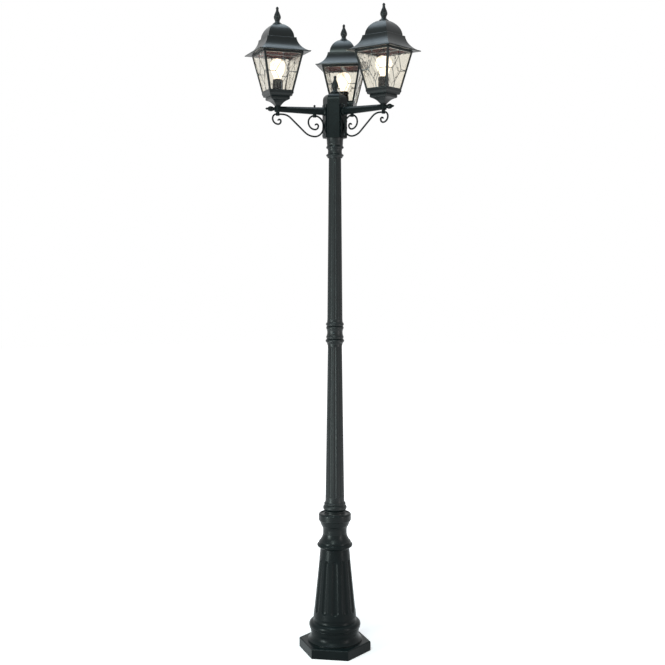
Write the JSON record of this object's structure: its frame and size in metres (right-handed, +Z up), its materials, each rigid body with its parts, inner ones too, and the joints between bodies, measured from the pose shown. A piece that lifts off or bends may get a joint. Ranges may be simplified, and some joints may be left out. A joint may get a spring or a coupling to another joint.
{
  "type": "garden lamp post",
  "caption": "Outdoor lamp post: hexagonal foot, fluted column and post, hexagonal hub with scrolled arms, and a four-sided leaded lantern with a hipped lift-off roof on each arm.",
  "frame": {"origin": "centre of the foot's underside, on the post's axis", "axes": "+Z up along the post; -Y is the front, square to the plain hub face between two arms; one arm points along +Y, the others at 30 degrees in front of -X and +X"},
  "size_m": [0.6982, 0.6046, 2.6],
  "materials": {
    "post_paint": "satin",
    "lantern_paint": "satin",
    "clear_glass": "polished",
    "lead": "satin",
    "holder_plastic": "matte",
    "lamp_glass": "polished",
    "lamp_metal": "satin",
    "brass": "satin",
    "screw_steel": "satin"
  },
  "bodies": {
    "post": {"foot": "post_paint", "column": "post_paint", "cup": "post_paint", "lower_post": "post_paint", "mid_collar": "post_paint", "upper_post": "post_paint", "top_collar": "post_paint", "set_screws": "screw_steel", "hub": "post_paint", "plate_screws": "screw_steel", "arm_right": "post_paint", "scroll_right": "post_paint", "stem_right": "brass", "gallery_right": "lantern_paint", "lampholder_right": "holder_plastic", "cage_right": "lantern_paint", "panes_right": "clear_glass", "leading_right": "lead", "bridge_right": "screw_steel", "arm_rear": "post_paint", "scroll_rear": "post_paint", "stem_rear": "brass", "gallery_rear": "lantern_paint", "lampholder_rear": "holder_plastic", "cage_rear": "lantern_paint", "panes_rear": "clear_glass", "leading_rear": "lead", "bridge_rear": "screw_steel", "arm_left": "post_paint", "scroll_left": "post_paint", "stem_left": "brass", "gallery_left": "lantern_paint", "lampholder_left": "holder_plastic", "cage_left": "lantern_paint", "panes_left": "clear_glass", "leading_left": "lead", "bridge_left": "screw_steel"},
    "cap": {"hub_cap": "post_paint"},
    "cap_knob": {"cap_finial": "post_paint"},
    "roof_right": {"roof_right": "lantern_paint"},
    "roof_knob_right": {"finial_right": "lantern_paint"},
    "lamp_right": {"lamp_cap_right": "lamp_metal", "lamp_glass_right": "lamp_glass"},
    "roof_rear": {"roof_rear": "lantern_paint"},
    "roof_knob_rear": {"finial_rear": "lantern_paint"},
    "lamp_rear": {"lamp_cap_rear": "lamp_metal", "lamp_glass_rear": "lamp_glass"},
    "roof_left": {"roof_left": "lantern_paint"},
    "roof_knob_left": {"finial_left": "lantern_paint"},
    "lamp_left": {"lamp_cap_left": "lamp_metal", "lamp_glass_left": "lamp_glass"}
  },
  "joints": [
    {"name": "hub_cap_lift", "type": "slide", "parent": "post", "child": "cap", "axis": [0, 0, 1], "range_m": [0, 0.06]},
    {"name": "cap_finial_turn", "type": "hinge", "parent": "cap", "child": "cap_knob", "pos_m": [0, 0, 2.3], "axis": [0, 0, 1], "continuous": true},
    {"name": "roof_lift_right", "type": "slide", "parent": "post", "child": "roof_right", "axis": [0, 0, 1], "range_m": [0, 0.16]},
    {"name": "finial_turn_right", "type": "hinge", "parent": "roof_right", "child": "roof_knob_right", "pos_m": [0.20837, -0.1203, 2.55], "axis": [0, 0, 1], "continuous": true},
    {"name": "lamp_turn_right", "type": "hinge", "parent": "post", "child": "lamp_right", "pos_m": [0.20837, -0.1203, 2.31], "axis": [0, 0, 1], "continuous": true},
    {"name": "roof_lift_rear", "type": "slide", "parent": "post", "child": "roof_rear", "axis": [0, 0, 1], "range_m": [0, 0.16]},
    {"name": "finial_turn_rear", "type": "hinge", "parent": "roof_rear", "child": "roof_knob_rear", "pos_m": [0, 0.2406, 2.55], "axis": [0, 0, 1], "continuous": true},
    {"name": "lamp_turn_rear", "type": "hinge", "parent": "post", "child": "lamp_rear", "pos_m": [0, 0.2406, 2.31], "axis": [0, 0, 1], "continuous": true},
    {"name": "roof_lift_left", "type": "slide", "parent": "post", "child": "roof_left", "axis": [0, 0, 1], "range_m": [0, 0.16]},
    {"name": "finial_turn_left", "type": "hinge", "parent": "roof_left", "child": "roof_knob_left", "pos_m": [-0.20837, -0.1203, 2.55], "axis": [0, 0, 1], "continuous": true},
    {"name": "lamp_turn_left", "type": "hinge", "parent": "post", "child": "lamp_left", "pos_m": [-0.20837, -0.1203, 2.31], "axis": [0, 0, 1], "continuous": true}
  ]
}
